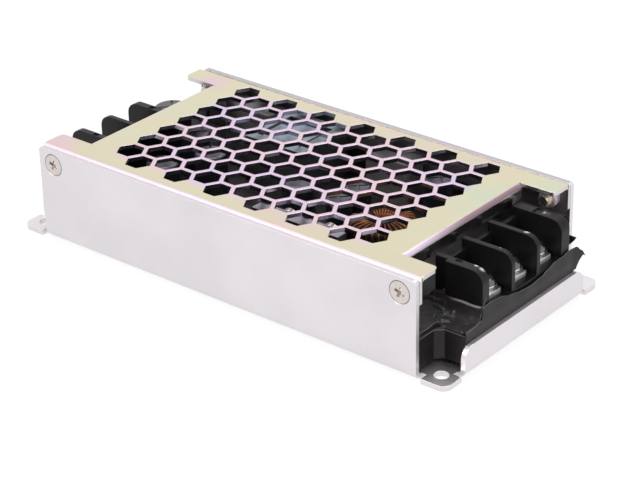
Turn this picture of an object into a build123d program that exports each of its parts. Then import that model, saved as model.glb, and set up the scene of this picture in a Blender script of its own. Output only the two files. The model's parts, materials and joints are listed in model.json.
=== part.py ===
# Small enclosed DC power converter: folded aluminium chassis, vented and
# chromated steel cover, barrier terminal blocks at both ends, and a potted
# board with its transformer, choke, capacitors and power devices inside.
#
# Frame: millimetres, origin at the centre of the chassis underside, +Z up,
# +X towards the three-way input block, -X towards the two-way output block.

import os
from math import sqrt

from build123d import *

os.makedirs("parts", exist_ok=True)

# Overall
length = 128.0
width = 60.0
height = 24.5
film_gap = 0.1
seat_gap = 0.05

# Chassis sheet
chassis_t = 1.2
chassis_bend = 2.2
wall_end_inset = 7.9
wall_drop = 0.3
wall_corner = 1.0
end_flange_height = 7.5
end_flange_inset = 7.1
end_flange_corner = 3.0
relief = 1.3
tab_corner = 2.2
tab_hole_d = 3.5
tab_hole_inset = 4.0

# Cover sheet
cover_t = 1.0
cover_bend = 1.6
cover_side_gap = 0.1
cover_flange_depth = 8.2
cover_flange_chamfer = 1.8
notch_depth = 8.7
notch_side_inset = 8.0
tongue_corner = 1.2
lip_depth = 4.1
lip_bend = 1.4
lip_corner = 1.5
lip_side_gap = 0.1

# Hexagon vents, as many as the margins leave room for
vent_pitch = 7.03
vent_across_flats = 6.0
vent_end_margin = 5.5
vent_side_margin = 1.0
vent_x = 0.02
vent_y = 0.42

# Cover screws and the thread bosses they turn in
screw_end_inset = 4.4
screw_drop = 4.1
screw_d = 3.0
screw_head_d = 5.5
screw_length = 6.0
screw_recess = 0.9
screw_tip = 0.3
screw_fit = 0.1
boss_d = 4.6
boss_length = 1.8
recess_slot = 0.7
recess_span = 2.6
recess_turn = 20.0

# Insulating film tray
film_t = 0.3
film_cover_gap = 0.4
film_end_top = 10.0
film_pocket_top = 9.0
pocket_length = 8.6
pocket_width = 9.1
pocket_chamfer = 1.7
film_bend = 1.2
film_spacer_gap = 0.2

# Board and its spacers
board_t = 1.6
board_z = 3.6
board_margin = 0.6
spacer_end_inset = 19.5
spacer_side_inset = 5.5
spacer_d = 5.0
board_screw_d = 2.5
board_screw_tip_z = 0.3
board_head_d = 4.6
board_head_h = 1.6

# Potting compound
potting_z = 9.3
potting_heap_z = 12.6
potting_heap_reach = 5.0

# Barrier terminal blocks, with the two faces of each barrier along Y
block_setback = 2.0
block_depth = 13.4
block_drop = 3.2
back_wall_t = 1.2
back_wall_drop = 5.5
barrier_round = 3.0
ledge_z = 12.0
input_walls = ((-12.9, -11.6), (-3.05, -1.75), (6.7, 8.0), (16.45, 19.6))
output_walls = ((-13.4, -11.7), (-3.2, -1.9), (6.5, 8.5))
pad_t = 1.1
pad_length = 10.0
mark_from_front = 4.6
mark_length = 1.6
mark_depth = 0.4

# Terminals
plate_t = 1.0
plate_width = 6.9
plate_corner = 0.6
plate_inset = 2.0
plate_rear_inset = 1.6
pin_width = 2.4
pin_t = 0.8
pin_tail = 0.8
pin_gap = 0.1
clamp_inset = 4.9
clamp_length = 5.6
clamp_width = 6.6
clamp_t = 0.7
clamp_slope = 50.0
washer_side = 5.0
washer_t = 0.4
washer_corner = 0.5
lock_washer_d = 4.6
lock_washer_t = 0.2
terminal_screw_d = 3.0
terminal_head_d = 6.1
terminal_head_h = 1.9
terminal_shank = 7.4
terminal_fit = 0.05
terminal_well_gap = 0.35
terminal_well_z = 6.3
slot_width = 0.8
slot_depth = 0.9
head_round = 1.2

# Transformer, its flat core level with the coil
transformer_from_spacer = 28.7
transformer_side_gap = 1.7
core_length = 18.4
core_width = 18.0
core_leg = 2.6
core_centre = 6.0
core_board_gap = 3.3
core_cover_gap = 1.6
core_plate = 3.0
core_round = 0.6
bobbin_t = 0.8
winding_depth = 2.0
winding_round = 1.6
wound_gap = 0.05
rail_gap = 0.1

# Toroidal choke on its base
choke_from_spacer = 71.5
choke_y = -3.5
choke_od = 14.0
choke_id = 6.6
choke_core_z = 10.2
choke_core_top = 19.1
choke_round = 0.8
choke_turns = 16
wire_d = 0.9
sleeve_t = 0.3
choke_base_d = 16.0

# Capacitor cans: name, distance from the output end's spacers, y, diameter, height
cans = (
    ("capacitor_1", 44.3, -0.8, 8.0, 15.0),
    ("capacitor_2", 57.4, -1.9, 6.3, 15.0),
    ("capacitor_3", 57.3, 5.4, 6.3, 15.0),
    ("capacitor_5", 17.5, -1.3, 8.0, 15.0),
    ("capacitor_6", 11.9, -12.3, 8.0, 15.0),
    ("capacitor_7", 6.5, 4.7, 8.0, 15.0),
)
far_can = ("capacitor_4", 69.9, 8.0, 15.0)
far_can_side_gap = 3.3
corner_can = ("capacitor_8", -8.7, 9.4, 14.6)
corner_can_block_gap = 0.2
can_groove_z = 2.4
can_groove = 0.4
can_round = 0.8
can_vent_depth = 0.3
can_vent_width = 0.5

# Box-shaped film capacitors by the far side: name, distance from the output end's
# spacers, length, width, gap to the cover's side, gap to the cover's top
boxes = (
    ("film_capacitor_1", 10.0, 15.0, 6.6, 0.6, 1.8),
    ("film_capacitor_2", 54.0, 13.0, 6.6, 0.8, 2.9),
)
film_capacitor_round = 0.8

# Power devices on their heat spreader bar
spreader_from_spacer = 59.5
spreader_side_gap = 7.2
spreader_t = 3.0
spreader_length = 25.0
spreader_top_gap = 1.6
device_width = 10.0
device_tab_show = 6.4
device_body_t = 3.1
device_tab_t = 1.3
device_tab_drop = 0.6
device_board_gap = 0.7
device_hole_drop = 2.9
device_hole_d = 3.6
device_spacing = 12.0
device_count = 2
device_screw_d = 3.0
device_head_d = 5.4
device_head_h = 1.8
device_screw_length = 4.0

# Places worked out from the sizes above
board_top = board_z + board_t
wall_half = length / 2 - wall_end_inset
wall_length = 2 * wall_half
wall_inner_y = width / 2 - chassis_t
end_flange_width = width - 2 * end_flange_inset
hole_spacing_x = length - 2 * tab_hole_inset
hole_spacing_y = width - 2 * tab_hole_inset
cover_half = wall_inner_y - cover_side_gap
cover_inner_y = cover_half - cover_t
cover_inner_z = height - cover_t
notch_x = wall_half - notch_depth
notch_half_width = width / 2 - notch_side_inset
screw_x = wall_half - screw_end_inset
screw_z = height - screw_drop
spacer_x = length / 2 - spacer_end_inset
spacer_y = width / 2 - spacer_side_inset
pocket_x = length / 2 - pocket_length
pocket_y = width / 2 - pocket_width
film_side_top = height - cover_flange_depth - film_cover_gap
film_floor = chassis_t + film_gap
film_half_x = length / 2 - chassis_t - film_gap
film_half_y = wall_inner_y - film_gap
fold_lap = 1.0
column_pitch = vent_pitch * sqrt(3) / 2
film_inner_x = film_half_x - film_t
film_inner_y = film_half_y - film_t
film_top_of_floor = film_floor + film_t
block_front = length / 2 - block_setback
block_top = height - block_drop
back_wall_top = height - back_wall_drop
block_rear = block_front - block_depth
block_mid = block_front - block_depth / 2
plate_top = ledge_z + plate_t
plate_front = block_front - plate_inset
plate_rear = block_rear + plate_rear_inset
clamp_x = block_front - clamp_inset
head_z = plate_top + clamp_t + washer_t + 2 * lock_washer_t
blocks = (
    ("input", 1, input_walls),
    ("output", -1, output_walls),
)
name, from_spacer, diameter, can_height = far_can
far_can_y = cover_inner_y - far_can_side_gap - diameter / 2
far_can = (name, from_spacer, far_can_y, diameter, can_height)
name, from_spacer, diameter, can_height = corner_can
corner_can_y = output_walls[-1][1] + corner_can_block_gap + diameter / 2
corner_can = (name, from_spacer, corner_can_y, diameter, can_height)


def folded_edge(plane, reach, thickness, radius, rise):
    """Section of a sheet edge: flat up to its outer bend, then a wall of height rise."""
    inner = radius - thickness
    start = reach - radius - fold_lap
    with BuildSketch(plane) as section:
        with BuildLine():
            Line((start, 0), (reach - radius, 0))
            CenterArc((reach - radius, radius), radius, -90, 90)
            Line((reach, radius), (reach, rise))
            Line((reach, rise), (reach - thickness, rise))
            Line((reach - thickness, rise), (reach - thickness, radius))
            CenterArc((reach - radius, radius), inner, 0, -90)
            Line((reach - radius, thickness), (start, thickness))
            Line((start, thickness), (start, 0))
        make_face()
    return section.sketch


def tray_outline(half_x, half_y, inset):
    """Plan of the film tray: a rectangle with a chamfered pocket at each corner."""
    x_in = pocket_x - inset
    y_in = pocket_y - inset
    with BuildSketch(Plane.XY) as outline:
        Rectangle(2 * half_x, 2 * half_y)
        for sx in (1, -1):
            for sy in (1, -1):
                with BuildLine():
                    Polyline(
                        (sx * x_in, sy * (half_y + 1)),
                        (sx * x_in, sy * (y_in + pocket_chamfer)),
                        (sx * (x_in + pocket_chamfer), sy * y_in),
                        (sx * (half_x + 1), sy * y_in),
                        (sx * (half_x + 1), sy * (half_y + 1)),
                        close=True,
                    )
                make_face(mode=Mode.SUBTRACT)
    return outline.sketch


def tray(half_x, half_y, inset, floor, top):
    """Solid that fills the film tray's plan, with its bottom edge rounded."""
    with BuildPart() as solid:
        with BuildSketch(Plane.XY.offset(floor)):
            add(tray_outline(half_x, half_y, inset))
        extrude(amount=top - floor)
        fillet(solid.edges().group_by(Axis.Z)[0], film_bend - inset)
    return solid.part


def ways(walls):
    """Middle of each compartment between neighbouring barriers."""
    return [(near[1] + far[0]) / 2 for near, far in zip(walls, walls[1:])]


def cross_recess(seat):
    """Two crossed slots sunk into a screw head that faces along the seat plane."""
    with BuildSketch(seat) as recess:
        Rectangle(recess_span, recess_slot, rotation=recess_turn)
        Rectangle(recess_slot, recess_span, rotation=recess_turn)
    return recess.sketch


# Chassis: floor with four mounting tabs, two long walls, two end flanges
wall_section = folded_edge(
    Plane.YZ, width / 2, chassis_t, chassis_bend, height - wall_drop
)
flange_section = folded_edge(
    Plane(origin=(0, 0, 0), x_dir=(1, 0, 0), z_dir=(0, -1, 0)),
    length / 2,
    chassis_t,
    chassis_bend,
    end_flange_height,
)
with BuildPart() as chassis:
    with BuildSketch(Plane.XY):
        Rectangle(length, width)
        fillet(vertices(), tab_corner)
        with GridLocations(0, width, 1, 2):
            Rectangle(wall_length + 2 * relief, 2 * chassis_bend, mode=Mode.SUBTRACT)
        with GridLocations(length, 0, 2, 1):
            Rectangle(2 * chassis_bend, end_flange_width + 2 * relief, mode=Mode.SUBTRACT)
        with GridLocations(hole_spacing_x, hole_spacing_y, 2, 2):
            Circle(tab_hole_d / 2, mode=Mode.SUBTRACT)
    extrude(amount=chassis_t)
    extrude(wall_section, amount=wall_half, both=True)
    extrude(flange_section, amount=end_flange_width / 2, both=True)
    mirror(about=Plane.XZ)
    mirror(about=Plane.YZ)
    wall_tips = chassis.edges().filter_by(Axis.Y).group_by(Axis.Z)[-1]
    fillet(wall_tips, wall_corner)
    flange_tips = (
        chassis.edges()
        .filter_by(Axis.X)
        .filter_by_position(Axis.Z, end_flange_height - 0.1, end_flange_height + 0.1)
    )
    fillet(flange_tips, end_flange_corner)
    for sy in (1, -1):
        for sx in (1, -1):
            seat = Plane(
                origin=(sx * screw_x, sy * width / 2, screw_z), z_dir=(0, sy, 0)
            )
            with Locations(seat):
                CounterSinkHole(
                    radius=screw_d / 2 + screw_fit,
                    counter_sink_radius=screw_head_d / 2 + screw_fit,
                    depth=chassis_t,
                    counter_sink_angle=90,
                )
    with BuildSketch(Plane.XY):
        with GridLocations(2 * spacer_x, 2 * spacer_y, 2, 2):
            Circle(board_screw_d / 2 + screw_fit)
    extrude(amount=chassis_t, mode=Mode.SUBTRACT)
chassis.part.label = "chassis"
export_step(chassis.part, "parts/chassis.step")

# Cover: vented top, side flanges inside the walls, a bent lip at each end notch
cover_flange = folded_edge(
    Plane(origin=(0, 0, height), x_dir=(0, 1, 0), z_dir=(-1, 0, 0)),
    cover_half,
    cover_t,
    cover_bend,
    cover_flange_depth,
)
cover_lip = folded_edge(
    Plane(origin=(0, 0, height), x_dir=(1, 0, 0), z_dir=(0, 1, 0)),
    notch_x,
    cover_t,
    lip_bend,
    lip_depth,
)
notch_floor = notch_x - lip_bend
vent_field_x = 2 * (notch_floor - vent_end_margin) - 2 * vent_across_flats / sqrt(3)
vent_field_y = 2 * (cover_half - cover_bend - vent_side_margin) - vent_across_flats
vent_columns = int(vent_field_x / column_pitch) + 1
vent_rows = int(vent_field_y / vent_pitch - 0.5) + 1
vents = []
for i in range(vent_columns):
    for j in range(vent_rows):
        x = vent_x + (i - (vent_columns - 1) / 2) * column_pitch
        y = vent_y - (j - vent_rows / 2 + 0.25 + 0.5 * (i % 2)) * vent_pitch
        vents.append((x, y))
with BuildPart() as cover:
    with BuildSketch(Plane.XY.offset(cover_inner_z)):
        Rectangle(wall_length, 2 * (cover_half - cover_bend))
        for sx in (1, -1):
            with Locations((sx * (notch_floor + wall_half) / 2, 0)):
                Rectangle(wall_half - notch_floor, 2 * notch_half_width, mode=Mode.SUBTRACT)
        tongue_tips = vertices().filter_by_position(
            Axis.Y, -notch_half_width - 0.1, notch_half_width + 0.1
        ).sort_by(lambda v: abs(v.X))[-4:]
        fillet(tongue_tips, tongue_corner)
    extrude(amount=cover_t)
    extrude(cover_flange, amount=wall_half, both=True)
    extrude(cover_lip, amount=notch_half_width - lip_side_gap, both=True)
    mirror(about=Plane.XZ)
    mirror(about=Plane.YZ)
    flange_z = height - cover_flange_depth
    flange_tips = (
        cover.edges()
        .filter_by(Axis.Y)
        .filter_by_position(Axis.Z, flange_z - 0.1, flange_z + 0.1)
    )
    chamfer(flange_tips, cover_flange_chamfer)
    lip_z = height - lip_depth
    lip_tips = (
        cover.edges().filter_by(Axis.X).filter_by_position(Axis.Z, lip_z - 0.1, lip_z + 0.1)
    )
    fillet(lip_tips.filter_by(lambda e: e.length < 2 * cover_t), lip_corner)
    for sx in (1, -1):
        for sy in (1, -1):
            seat = Plane(
                origin=(sx * screw_x, sy * (cover_half - cover_t / 2), screw_z),
                z_dir=(0, -sy, 0),
            )
            with BuildSketch(seat):
                Circle(boss_d / 2)
            extrude(amount=cover_t / 2 + boss_length)
            with BuildSketch(seat):
                Circle(screw_d / 2 + screw_fit)
            extrude(amount=cover_t + boss_length, both=True, mode=Mode.SUBTRACT)
    with BuildSketch(Plane.XY.offset(cover_inner_z)):
        with Locations(*vents):
            RegularPolygon(vent_across_flats / 2, 6, major_radius=False)
    extrude(amount=cover_t, mode=Mode.SUBTRACT)
cover.part.label = "cover"
export_step(cover.part, "parts/cover.step")

# Four countersunk cover screws
with BuildPart() as cover_screws:
    for sx in (1, -1):
        for sy in (1, -1):
            seat = Plane(
                origin=(sx * screw_x, sy * (width / 2 - seat_gap), screw_z),
                z_dir=(0, -sy, 0),
            )
            head_h = (screw_head_d - screw_d) / 2
            with Locations(seat.location):
                Cylinder(
                    screw_d / 2,
                    screw_length,
                    align=(Align.CENTER, Align.CENTER, Align.MIN),
                )
                Cone(
                    screw_head_d / 2,
                    screw_d / 2,
                    head_h,
                    align=(Align.CENTER, Align.CENTER, Align.MIN),
                )
            extrude(cross_recess(seat), amount=screw_recess, mode=Mode.SUBTRACT)
    screw_tips = cover_screws.edges().filter_by(GeomType.CIRCLE).filter_by(
        lambda e: abs(abs(e.center().Y) - (width / 2 - seat_gap - screw_length)) < 0.01
    )
    chamfer(screw_tips, screw_tip)
cover_screws.part.label = "cover_screws"
export_step(cover_screws.part, "parts/cover_screws.step")

# Insulating film: a folded tray between the chassis and the potted board
film_outside = tray(film_half_x, film_half_y, 0, film_floor, film_side_top)
film_inside = tray(film_inner_x, film_inner_y, film_t, film_top_of_floor, height)
with BuildPart() as liner:
    add(film_outside)
    add(film_inside, mode=Mode.SUBTRACT)
    with BuildSketch(Plane.XY.offset(film_end_top)):
        with GridLocations(length, 0, 2, 1):
            Rectangle(length - 2 * (pocket_x - film_t), 2 * width)
    extrude(amount=film_side_top, mode=Mode.SUBTRACT)
    with BuildSketch(Plane.XY.offset(film_pocket_top)):
        with GridLocations(length, 2 * film_half_y, 2, 2):
            Rectangle(
                length - 2 * (pocket_x - film_t),
                2 * (film_half_y - pocket_y + film_t),
            )
    extrude(amount=film_side_top, mode=Mode.SUBTRACT)
    with BuildSketch(Plane.XY.offset(film_floor)):
        with GridLocations(2 * spacer_x, 2 * spacer_y, 2, 2):
            Circle(spacer_d / 2 + film_spacer_gap)
    extrude(amount=film_t, mode=Mode.SUBTRACT)
liner.part.label = "liner"
export_step(liner.part, "parts/liner.step")

# Board spacers, clinched to the chassis floor
with BuildPart() as board_spacers:
    with BuildSketch(Plane.XY.offset(chassis_t)):
        with GridLocations(2 * spacer_x, 2 * spacer_y, 2, 2):
            Circle(spacer_d / 2)
            Circle(board_screw_d / 2 + screw_fit, mode=Mode.SUBTRACT)
    extrude(amount=board_z - chassis_t)
board_spacers.part.label = "board_spacers"
export_step(board_spacers.part, "parts/board_spacers.step")

# Circuit board, following the tray round the four pockets
with BuildPart() as circuit_board:
    with BuildSketch(Plane.XY.offset(board_z)):
        add(
            tray_outline(
                film_inner_x - board_margin,
                film_inner_y - board_margin,
                film_t + board_margin,
            )
        )
        with GridLocations(2 * spacer_x, 2 * spacer_y, 2, 2):
            Circle(board_screw_d / 2 + screw_fit, mode=Mode.SUBTRACT)
        for name, side, walls in blocks:
            for y in ways(walls):
                with Locations((side * (plate_rear + pin_t / 2), y)):
                    Rectangle(
                        pin_t + 2 * pin_gap, pin_width + 2 * pin_gap, mode=Mode.SUBTRACT
                    )
    extrude(amount=board_t)
circuit_board.part.label = "circuit_board"
export_step(circuit_board.part, "parts/circuit_board.step")

# Board screws
with BuildPart() as board_screws:
    with GridLocations(2 * spacer_x, 2 * spacer_y, 2, 2):
        with Locations((0, 0, board_screw_tip_z)):
            Cylinder(
                board_screw_d / 2,
                board_top - board_screw_tip_z,
                align=(Align.CENTER, Align.CENTER, Align.MIN),
            )
        with Locations((0, 0, board_top)):
            Cylinder(
                board_head_d / 2,
                board_head_h,
                align=(Align.CENTER, Align.CENTER, Align.MIN),
            )
    head_rims = board_screws.edges().filter_by(GeomType.CIRCLE).group_by(Axis.Z)[-1]
    fillet(head_rims, board_head_h / 2)
board_screws.part.label = "board_screws"
export_step(board_screws.part, "parts/board_screws.step")

# Moulded barrier blocks: a base with a ledge, a back wall and rounded barriers
for name, side, walls in blocks:
    near, far = walls[0][0], walls[-1][1]
    with BuildPart() as block:
        with BuildSketch(Plane.XY.offset(board_top)):
            with Locations((side * block_mid, (near + far) / 2)):
                Rectangle(block_depth, far - near)
        extrude(amount=ledge_z - board_top)
        with BuildSketch(Plane.XY.offset(ledge_z)):
            with Locations((side * (block_rear + back_wall_t / 2), (near + far) / 2)):
                Rectangle(back_wall_t, far - near)
        extrude(amount=back_wall_top - ledge_z)
        for low, high in walls:
            with BuildSketch(Plane.XZ.offset(-low)):
                with Locations((side * block_mid, (ledge_z + block_top) / 2)):
                    Rectangle(block_depth, block_top - ledge_z)
                fillet(
                    vertices().group_by(Axis.Y)[-1].sort_by(lambda v: abs(v.X))[-1:],
                    barrier_round,
                )
            extrude(amount=low - high)
        if side > 0:
            with BuildSketch(Plane.XZ.offset(-near)):
                with Locations((block_front - pad_length / 2, (board_top + block_top) / 2)):
                    Rectangle(pad_length, block_top - board_top)
                fillet(
                    vertices().group_by(Axis.Y)[-1].sort_by(lambda v: abs(v.X))[-1:],
                    barrier_round,
                )
            extrude(amount=pad_t)
        for low, high in (walls[0], walls[-1]):
            mark_x = side * (block_front - barrier_round - mark_from_front)
            with BuildSketch(Plane.XY.offset(block_top - mark_depth)):
                with Locations((mark_x, (low + high) / 2)):
                    Rectangle(mark_length, high - low - mark_depth)
            extrude(amount=mark_depth, mode=Mode.SUBTRACT)
        for y in ways(walls):
            with BuildSketch(Plane.XY.offset(terminal_well_z)):
                with Locations((side * clamp_x, y)):
                    Circle(terminal_screw_d / 2 + terminal_well_gap)
            extrude(amount=ledge_z - terminal_well_z, mode=Mode.SUBTRACT)
            with BuildSketch(Plane.XY.offset(board_top)):
                with Locations((side * (plate_rear + pin_t / 2), y)):
                    Rectangle(pin_t + 2 * pin_gap, pin_width + 2 * pin_gap)
            extrude(amount=ledge_z - board_top, mode=Mode.SUBTRACT)
    block.part.label = f"{name}_terminal_block"
    export_step(block.part, f"parts/{name}_terminal_block.step")

# Terminals: a plate with a bent pin, a clamp with its lock washer, a captive screw
for name, side, walls in blocks:
    for k, y in enumerate(ways(walls), 1):
        with BuildPart() as plate:
            with BuildSketch(Plane.XY.offset(ledge_z)):
                with Locations((side * (plate_front + plate_rear) / 2, y)):
                    Rectangle(plate_front - plate_rear, plate_width)
                fillet(
                    vertices().sort_by(lambda v: abs(v.X))[-2:],
                    plate_corner,
                )
                with Locations((side * clamp_x, y)):
                    Circle(terminal_screw_d / 2 + terminal_fit, mode=Mode.SUBTRACT)
            extrude(amount=plate_t)
            with BuildSketch(Plane.XY.offset(board_z - pin_tail)):
                with Locations((side * (plate_rear + pin_t / 2), y)):
                    Rectangle(pin_t, pin_width)
            extrude(amount=ledge_z - board_z + pin_tail)
        plate.part.label = f"{name}_plate_{k}"
        export_step(plate.part, f"parts/{name}_plate_{k}.step")

        with BuildPart() as clamp:
            with BuildSketch(Plane.XY.offset(plate_top)):
                with Locations((side * clamp_x, y)):
                    Rectangle(clamp_length, clamp_width)
            extrude(amount=clamp_t, taper=clamp_slope)
            with BuildSketch(Plane.XY.offset(plate_top + clamp_t)):
                with Locations((side * clamp_x, y)):
                    Circle(lock_washer_d / 2)
            extrude(amount=head_z - plate_top - clamp_t)
            with BuildSketch(Plane.XY.offset(plate_top + clamp_t + lock_washer_t)):
                with Locations((side * clamp_x, y)):
                    RectangleRounded(washer_side, washer_side, washer_corner)
            extrude(amount=washer_t)
            with BuildSketch(Plane.XY.offset(plate_top)):
                with Locations((side * clamp_x, y)):
                    Circle(terminal_screw_d / 2 + terminal_fit)
            extrude(amount=head_z - plate_top, mode=Mode.SUBTRACT)
        clamp.part.label = f"{name}_clamp_{k}"
        export_step(clamp.part, f"parts/{name}_clamp_{k}.step")

        with BuildPart() as screw:
            with Locations((side * clamp_x, y, head_z - terminal_shank)):
                Cylinder(
                    terminal_screw_d / 2,
                    terminal_shank,
                    align=(Align.CENTER, Align.CENTER, Align.MIN),
                )
            with Locations((side * clamp_x, y, head_z)):
                Cylinder(
                    terminal_head_d / 2,
                    terminal_head_h,
                    align=(Align.CENTER, Align.CENTER, Align.MIN),
                )
            fillet(screw.edges().filter_by(GeomType.CIRCLE).group_by(Axis.Z)[-1], head_round)
            chamfer(screw.edges().filter_by(GeomType.CIRCLE).group_by(Axis.Z)[0], screw_tip)
            with BuildSketch(Plane.XY.offset(head_z + terminal_head_h)):
                with Locations((side * clamp_x, y)):
                    Rectangle(slot_width, terminal_head_d)
                    Rectangle(recess_span, recess_slot)
            extrude(amount=-slot_depth, mode=Mode.SUBTRACT)
        screw.part.label = f"{name}_screw_{k}"
        export_step(screw.part, f"parts/{name}_screw_{k}.step")

# Transformer: two core halves, a bobbin on pin rails and the wound, taped coil
transformer_x = transformer_from_spacer - spacer_x
transformer_y = cover_inner_y - transformer_side_gap - core_width / 2
core_top = cover_inner_z - core_cover_gap
core_bottom = board_top + core_board_gap
core_mid_z = (core_bottom + core_top) / 2
core_height = core_top - core_bottom
core_centre_height = core_height - 2 * core_plate
core_half_length = core_length / 2
window = core_length - 2 * core_leg
for sx, end in ((1, "input"), (-1, "output")):
    with BuildPart() as core_half:
        with BuildSketch(Plane.XY.offset(core_bottom)):
            with Locations((transformer_x + sx * core_half_length / 2, transformer_y)):
                Rectangle(core_half_length, core_width)
            with Locations((transformer_x + sx * window / 4, transformer_y)):
                Rectangle(window / 2, core_width - 2 * core_leg, mode=Mode.SUBTRACT)
        extrude(amount=core_height)
        back_edges = core_half.edges().filter_by(Axis.Z).sort_by(
            lambda e: abs(e.center().X - transformer_x)
        )
        fillet(back_edges[-2:], core_round)
        with BuildSketch(Plane.XY.offset(core_mid_z)):
            with Locations((transformer_x + sx * core_half_length / 2, transformer_y)):
                Rectangle(core_half_length, core_centre)
        extrude(amount=core_centre_height / 2, both=True)
    core_half.part.label = f"transformer_core_{end}"
    export_step(core_half.part, f"parts/transformer_core_{end}.step")

tube_width = core_centre + 2 * (wound_gap + bobbin_t)
tube_height = core_centre_height + 2 * (wound_gap + bobbin_t)
coil_width = tube_width + 2 * winding_depth
coil_height = tube_height + 2 * winding_depth
bobbin_length = window - 2 * wound_gap
flange_top = core_mid_z + coil_height / 2 + wound_gap / 2
coil_section = Plane(
    origin=(transformer_x, transformer_y, core_mid_z), x_dir=(0, 1, 0), z_dir=(1, 0, 0)
)
with BuildPart() as transformer_bobbin:
    with BuildSketch(coil_section):
        RectangleRounded(tube_width, tube_height, bobbin_t)
    extrude(amount=bobbin_length / 2, both=True)
    for sx in (1, -1):
        with BuildSketch(coil_section.offset(sx * bobbin_length / 2)):
            with Locations((0, (board_top + flange_top) / 2 - core_mid_z)):
                RectangleRounded(coil_width + wound_gap, flange_top - board_top, bobbin_t)
        extrude(amount=-sx * bobbin_t)
    with BuildSketch(coil_section):
        Rectangle(core_centre + 2 * wound_gap, core_centre_height + 2 * wound_gap)
    extrude(amount=bobbin_length, both=True, mode=Mode.SUBTRACT)
    with BuildSketch(Plane.XY.offset(board_top)):
        for sx in (1, -1):
            with Locations((transformer_x + sx * (window / 2 + core_leg / 2), transformer_y)):
                Rectangle(core_leg + 2 * bobbin_t, coil_width)
    extrude(amount=core_bottom - rail_gap - board_top)
transformer_bobbin.part.label = "transformer_bobbin"
export_step(transformer_bobbin.part, "parts/transformer_bobbin.step")

with BuildPart() as transformer_coil:
    with BuildSketch(coil_section):
        RectangleRounded(coil_width, coil_height, winding_round)
        RectangleRounded(
            tube_width + 2 * wound_gap, tube_height + 2 * wound_gap, bobbin_t, mode=Mode.SUBTRACT
        )
    extrude(amount=bobbin_length / 2 - bobbin_t - wound_gap, both=True)
transformer_coil.part.label = "transformer_coil"
export_step(transformer_coil.part, "parts/transformer_coil.step")

# Toroidal choke: base, core and copper turns joined by a thin sleeve
choke_x = choke_from_spacer - spacer_x
with BuildPart() as choke_base:
    with BuildSketch(Plane.XY.offset(board_top)):
        with Locations((choke_x, choke_y)):
            Circle(choke_base_d / 2)
    extrude(amount=choke_core_z - wire_d - sleeve_t - board_top)
choke_base.part.label = "choke_base"
export_step(choke_base.part, "parts/choke_base.step")

with BuildPart() as choke_core:
    with BuildSketch(Plane.XY.offset(choke_core_z)):
        with Locations((choke_x, choke_y)):
            Circle(choke_od / 2)
            Circle(choke_id / 2, mode=Mode.SUBTRACT)
    extrude(amount=choke_core_top - choke_core_z)
    fillet(choke_core.edges().filter_by(GeomType.CIRCLE), choke_round)
choke_core.part.label = "choke_core"
export_step(choke_core.part, "parts/choke_core.step")

ring_width = (choke_od - choke_id) / 2
ring_height = choke_core_top - choke_core_z
ring_radius = (choke_od + choke_id) / 4
choke_axis = Axis((choke_x, choke_y, 0), (0, 0, 1))
turn_plane = Plane(
    origin=(choke_x, choke_y, (choke_core_z + choke_core_top) / 2),
    x_dir=(1, 0, 0),
    z_dir=(0, -1, 0),
)


def turn_section(outside):
    """Frame round the core section, open by wound_gap and as thick as outside."""
    with BuildSketch(turn_plane) as frame:
        with Locations((ring_radius, 0)):
            RectangleRounded(
                ring_width + 2 * outside, ring_height + 2 * outside, choke_round + outside
            )
            RectangleRounded(
                ring_width + 2 * wound_gap,
                ring_height + 2 * wound_gap,
                choke_round,
                mode=Mode.SUBTRACT,
            )
    return frame.sketch


with BuildPart() as turn:
    extrude(turn_section(sleeve_t + wire_d), amount=wire_d / 2, both=True)
with BuildPart() as choke_winding:
    revolve(turn_section(sleeve_t), axis=choke_axis)
    for k in range(choke_turns):
        add(turn.part.rotate(choke_axis, (k + 0.5) * 360 / choke_turns))
choke_winding.part.label = "choke_winding"
export_step(choke_winding.part, "parts/choke_winding.step")

# Electrolytic capacitor cans with their crimp groove and pressure vent
capacitors = [
    (name, from_spacer - spacer_x, y, diameter, can_height)
    for name, from_spacer, y, diameter, can_height in (*cans, far_can, corner_can)
]
for name, x, y, diameter, can_height in capacitors:
    radius = diameter / 2
    top = board_top + can_height
    with BuildPart() as can:
        with BuildSketch(Plane.XZ):
            with BuildLine():
                Polyline(
                    (0, board_top),
                    (radius, board_top),
                    (radius, board_top + can_groove_z - can_groove),
                    (radius - can_groove, board_top + can_groove_z),
                    (radius, board_top + can_groove_z + can_groove),
                    (radius, top),
                    (0, top),
                    close=True,
                )
            make_face()
        revolve(axis=Axis.Z)
        fillet(can.edges().filter_by(GeomType.CIRCLE).group_by(Axis.Z)[-1], can_round)
        with BuildSketch(Plane.XY.offset(top - can_vent_depth)):
            Rectangle(diameter - 2 * can_round, can_vent_width, rotation=45)
            Rectangle(diameter - 2 * can_round, can_vent_width, rotation=-45)
        extrude(amount=can_vent_depth, mode=Mode.SUBTRACT)
    placed = can.part.moved(Location((x, y, 0)))
    placed.label = name
    export_step(placed, f"parts/{name}.step")

# Box-shaped film capacitors
film_capacitors = [
    (
        name,
        from_spacer - spacer_x,
        cover_inner_y - side_gap - box_width / 2,
        box_length,
        box_width,
        cover_inner_z - top_gap,
    )
    for name, from_spacer, box_length, box_width, side_gap, top_gap in boxes
]
for name, x, y, box_length, box_width, box_top in film_capacitors:
    with BuildPart() as box:
        with BuildSketch(Plane.XY.offset(board_top)):
            with Locations((x, y)):
                Rectangle(box_length, box_width)
        extrude(amount=box_top - board_top)
        fillet(box.edges().filter_by(Axis.Z), film_capacitor_round)
        fillet(box.edges().group_by(Axis.Z)[-1], film_capacitor_round / 2)
    box.part.label = name
    export_step(box.part, f"parts/{name}.step")

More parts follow.
